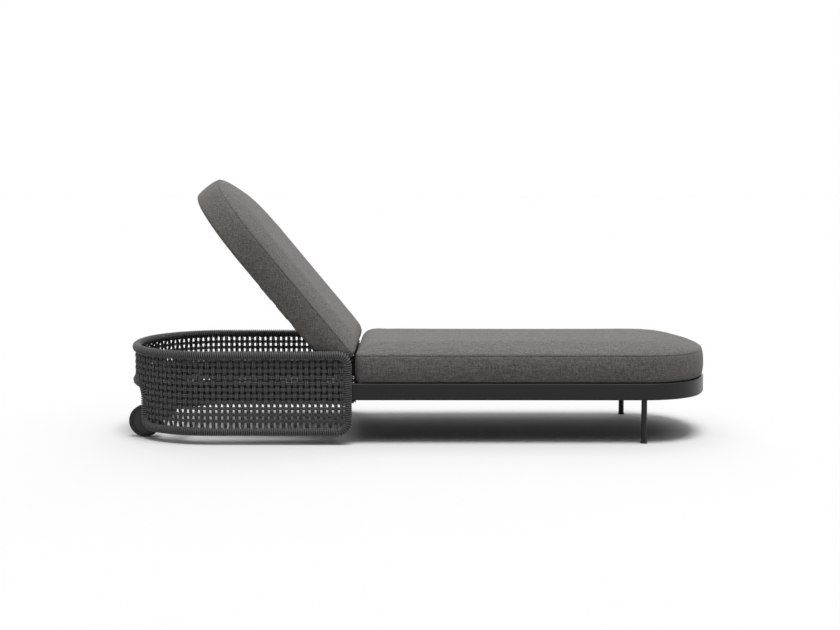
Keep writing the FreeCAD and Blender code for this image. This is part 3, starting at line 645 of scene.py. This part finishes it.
def outline(plan, x_flat, inset, z):
    """Closed loop of points round a cushion at one level, with rounded straight-end corners."""
    end = plan.inset(inset)
    flat = x_flat + plan.facing * inset * END_SHARE
    radius = CUSHION_CORNER
    half_run = end.half_length(flat + plan.facing * radius)
    left = [end.at(half_run * i / OUTLINE_STEPS, flat + plan.facing * radius)[0]
            for i in range(OUTLINE_STEPS + 1)]
    corner = []
    for i in range(1, CORNER_STEPS + 1):
        angle = math.pi / 2 * i / CORNER_STEPS
        corner.append(np.array([flat + plan.facing * radius * (1 - math.sin(angle)),
                                end.half - radius * (1 - math.cos(angle)), 0.0]))
    mirror = np.array([1.0, -1.0, 1.0])
    around = corner[::-1] + left
    loop = around + [p * mirror for p in around[-2::-1]]
    return [p + UP * z for p in loop]


def cushion_levels(crown, base_inset):
    """Levels and insets from the base over the bulging side and seam to the crown."""
    seam = CUSHION_BASE + CUSHION_SIDE
    side = [(0.0, base_inset), (BASE_CURVE_LEVEL, base_inset * BASE_CURVE), *SIDE_PROFILE, (1.0, SEAM_INSET)]
    top = [(1.0 - (1.0 - t) ** CROWN_POWER, SEAM_INSET + CROWN_REACH * t) for t in CROWN_STEPS]
    levels = [(CUSHION_BASE + CUSHION_SIDE * share, inset) for share, inset in side]
    return levels + [(seam + crown * share, inset) for share, inset in top]


def stuffed_mesh(name, plan, x_flat, heel, base_inset):
    """Closed cushion blank, a little slack, ready to be blown up."""
    levels = cushion_levels(CUSHION_CROWN * START_CROWN, base_inset)
    loops = [outline(plan, x_flat + (plan.facing * heel if i == 0 else 0.0), inset, z)
             for i, (z, inset) in enumerate(levels)]
    size = len(loops[0])
    points = [tuple(p) for loop in loops for p in loop]
    faces = [tuple(range(size))[::-1], tuple((len(loops) - 1) * size + k for k in range(size))]
    for level in range(len(loops) - 1):
        low, high = level * size, (level + 1) * size
        for k in range(size):
            after = (k + 1) % size
            faces.append((low + k, low + after, high + after, high + k))
    mesh = bpy.data.meshes.new(name)
    mesh.from_pydata(points, [], faces)
    shape = bmesh.new()
    shape.from_mesh(mesh)
    bmesh.ops.recalc_face_normals(shape, faces=shape.faces)
    shape.to_mesh(mesh)
    shape.free()
    return mesh


def apply_modifiers(piece):
    """Puts the evaluated mesh in the piece and clears its modifiers."""
    graph = bpy.context.evaluated_depsgraph_get()
    solid = bpy.data.meshes.new_from_object(piece.evaluated_get(graph))
    piece.modifiers.clear()
    piece.data = solid


def blow_up(piece, seam, edge_of):
    """Cloth under pressure, held along its seam and where it rests, limited and then evened."""
    scene = bpy.context.scene
    before = np.array([v.co for v in piece.data.vertices])
    group = piece.vertex_groups.new(name="held")
    resting = before[:, 2] < CUSHION_BASE + VOXEL * 0.6
    on_seam = (np.abs(before[:, 2] - seam) < VOXEL * 0.9) & edge_of(before)
    group.add(np.nonzero(resting | on_seam)[0].tolist(), 1.0, "REPLACE")
    cloth = piece.modifiers.new("pressure", "CLOTH")
    settings = cloth.settings
    settings.quality = CLOTH_QUALITY
    settings.mass = CLOTH_MASS
    settings.tension_stiffness = CLOTH_STIFFNESS
    settings.compression_stiffness = CLOTH_STIFFNESS
    settings.shear_stiffness = CLOTH_STIFFNESS
    settings.bending_stiffness = CLOTH_BENDING
    settings.use_pressure = True
    settings.uniform_pressure_force = CLOTH_PRESSURE
    settings.effector_weights.gravity = 0.0
    settings.vertex_group_mass = "held"
    cloth.collision_settings.use_self_collision = False
    cloth.point_cache.frame_start, cloth.point_cache.frame_end = 1, CLOTH_FRAMES
    for number in range(1, CLOTH_FRAMES + 1):
        scene.frame_set(number)
    apply_modifiers(piece)
    after = np.array([v.co for v in piece.data.vertices])
    move = after - before
    length = np.linalg.norm(move, axis=1)
    cap = np.where(before[:, 2] < seam, MOST_SIDE_MOVE, MOST_MOVE)
    scale = cap * np.tanh(length / cap) / np.maximum(length, 1e-9)
    rise = np.clip((before[:, 2] - CUSHION_BASE) / BASE_BLEND, 0.0, 1.0)
    settled = before + move * (scale * rise * rise * (3 - 2 * rise))[:, None]
    settled[:, 2] = np.maximum(settled[:, 2], CUSHION_BASE)
    piece.data.vertices.foreach_set("co", settled.ravel())
    scene.frame_set(1)
    crown = piece.vertex_groups.new(name="crown")
    crown.add(np.nonzero(before[:, 2] > seam + VOXEL)[0].tolist(), 1.0, "REPLACE")
    ease = piece.modifiers.new("ease", "SMOOTH")
    ease.factor, ease.iterations, ease.vertex_group = 0.5, CROWN_EASE, crown.name
    apply_modifiers(piece)


def near_loop(points, loop):
    """True for the points that lie within SEAM_HOLD of a closed loop in plan."""
    near = np.zeros(len(points), bool)
    after = np.roll(loop, -1, axis=0)
    for first, last in zip(loop[:, :2], after[:, :2]):
        way = last - first
        share = np.clip((points[:, :2] - first) @ way / max(way @ way, 1e-12), 0.0, 1.0)
        gap = points[:, :2] - first - share[:, None] * way
        near |= (gap * gap).sum(axis=1) < SEAM_HOLD ** 2
    return near


def cushion(name, plan, x_flat, heel, base_inset, body, place, node):
    """A padded cushion from blank to finish, with the welt along its top seam."""
    seam = CUSHION_BASE + CUSHION_SIDE
    mesh = stuffed_mesh(name, plan.inset(START_INSET), x_flat + plan.facing * START_INSET, heel, base_inset)
    piece = bpy.data.objects.new(name, mesh)
    bpy.context.scene.collection.objects.link(piece)
    remesh = piece.modifiers.new("even", "REMESH")
    remesh.mode, remesh.voxel_size = "VOXEL", VOXEL
    apply_modifiers(piece)
    loop = np.array(outline(plan, x_flat, SEAM_INSET + START_INSET, seam))
    blow_up(piece, seam, lambda points: near_loop(points, loop))
    finer = piece.modifiers.new("finer", "SUBSURF")
    finer.levels = finer.render_levels = 1
    apply_modifiers(piece)
    piece.data.materials.clear()
    piece.data.materials.append(FABRIC)
    piece.data.polygons.foreach_set("use_smooth", [True] * len(piece.data.polygons))
    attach(piece, body)
    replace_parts(piece, node)
    bpy.context.view_layer.update()
    line = [piece.closest_point_on_mesh(Vector(p))[1] for p in outline(plan, x_flat, SEAM_INSET, seam)]
    line = np.array(line + line[:1])
    welt_mesh = rope_mesh(name + "_welt", [(line, [UP] * len(line), run_lengths(line))], WELT_RADIUS)
    welt_mesh.transform(place)
    piece.data.transform(place)
    return piece, link(name + "_welt", welt_mesh, WELT_FABRIC, body)


def cushions():
    """Both pads; the back pad shortens a little as the back goes down."""
    raised = (Matrix.Translation(BACK_DIRECTION * CUSHION_SLIDE) @ Matrix.Translation(PIVOT)
              @ Matrix.Rotation(RECLINE, 4, "Y") @ Matrix.Translation(-PIVOT))
    cushion("seat_pad", FOOT, SEAT_HEAD - END_PUFF, 0.0, SEAT_BASE_INSET,
            "base", Matrix.Identity(4), "seat_cushion")
    plan = WALL.inset(RIM_RADIUS + BACK_GAP - END_PUFF)
    back = cushion("back_pad", plan, BACK_FOOT + BACK_PUFF, BACK_HEEL, BACK_BASE_INSET,
                   "cushion", raised, "back_cushion")
    for piece in back:
        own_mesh(piece)


# Stage, light and camera

def stage_floor():
    """White floor: the camera sees it white with the shadow, the object is lit by a darker one."""
    mesh = bpy.data.meshes.new("floor")
    corners = [(x * FLOOR_REACH, y * FLOOR_REACH, 0) for x, y in ((-1, -1), (1, -1), (1, 1), (-1, 1))]
    mesh.from_pydata(corners, [], [(0, 1, 2, 3)])
    floor = bpy.data.objects.new("floor", mesh)
    bpy.context.scene.collection.objects.link(floor)
    made = bpy.data.materials.new("studio_floor")
    made.use_nodes = True
    tree = made.node_tree
    tree.nodes.clear()
    output = tree.nodes.new("ShaderNodeOutputMaterial")
    seen, bounced = (tree.nodes.new("ShaderNodeBsdfDiffuse") for _ in range(2))
    seen.inputs["Color"].default_value = (1.0, 1.0, 1.0, 1.0)
    bounced.inputs["Color"].default_value = (FLOOR_BOUNCE, FLOOR_BOUNCE, FLOOR_BOUNCE, 1.0)
    pick = tree.nodes.new("ShaderNodeMixShader")
    tree.links.new(camera_rays(tree), pick.inputs[0])
    tree.links.new(bounced.outputs[0], pick.inputs[1])
    tree.links.new(seen.outputs[0], pick.inputs[2])
    tree.links.new(pick.outputs[0], output.inputs["Surface"])
    mesh.materials.append(made)


def camera_rays(tree):
    """1 for rays from the camera, and for mirrored and transmitted ones."""
    path = tree.nodes.new("ShaderNodeLightPath")
    shiny = math_node(tree, "MAXIMUM", path.outputs["Is Glossy Ray"], path.outputs["Is Transmission Ray"])
    return math_node(tree, "MAXIMUM", path.outputs["Is Camera Ray"], shiny)


def studio_light():
    """A dim white world as fill, with soft suns from above and from the backdrop."""
    world = bpy.data.worlds.new("studio")
    bpy.context.scene.world = world
    world.use_nodes = True
    tree = world.node_tree
    background = tree.nodes["Background"]
    fill = tree.nodes.new("ShaderNodeMapRange")
    fill.inputs["To Min"].default_value = WORLD_FILL
    fill.inputs["To Max"].default_value = 1.0
    tree.links.new(camera_rays(tree), fill.inputs["Value"])
    tree.links.new(fill.outputs["Result"], background.inputs["Strength"])
    background.inputs["Color"].default_value = (1.0, 1.0, 1.0, 1.0)
    for name, tilt, roll, width, strength in SUNS:
        lamp = bpy.data.lights.new(name, "SUN")
        lamp.energy = strength * math.pi
        lamp.angle = math.radians(width)
        sun = bpy.data.objects.new(name, lamp)
        sun.rotation_euler = (math.radians(tilt), math.radians(roll), 0.0)
        bpy.context.scene.collection.objects.link(sun)


def photo_camera():
    """The photo's camera, turned so that the depth lines meet at their pixel with no lens shift."""
    lens = bpy.data.cameras.new("photo_camera")
    lens.sensor_width = SENSOR_WIDTH
    lens.lens = FOCAL_PIXELS / IMAGE_SIZE[0] * SENSOR_WIDTH
    camera = bpy.data.objects.new("photo_camera", lens)
    camera.location = CAMERA_PLACE
    down = math.atan2(IMAGE_SIZE[1] / 2 - VANISHING_PIXEL[1], FOCAL_PIXELS)
    left = math.atan2(VANISHING_PIXEL[0] - IMAGE_SIZE[0] / 2, FOCAL_PIXELS)
    camera.rotation_euler = (math.pi / 2 - down, 0.0, left)
    bpy.context.scene.collection.objects.link(camera)
    bpy.context.scene.camera = camera


finish_nodes()
weave()
bindings()
cushions()
stage_floor()
studio_light()
photo_camera()
bpy.context.scene.view_settings.view_transform = "Standard"
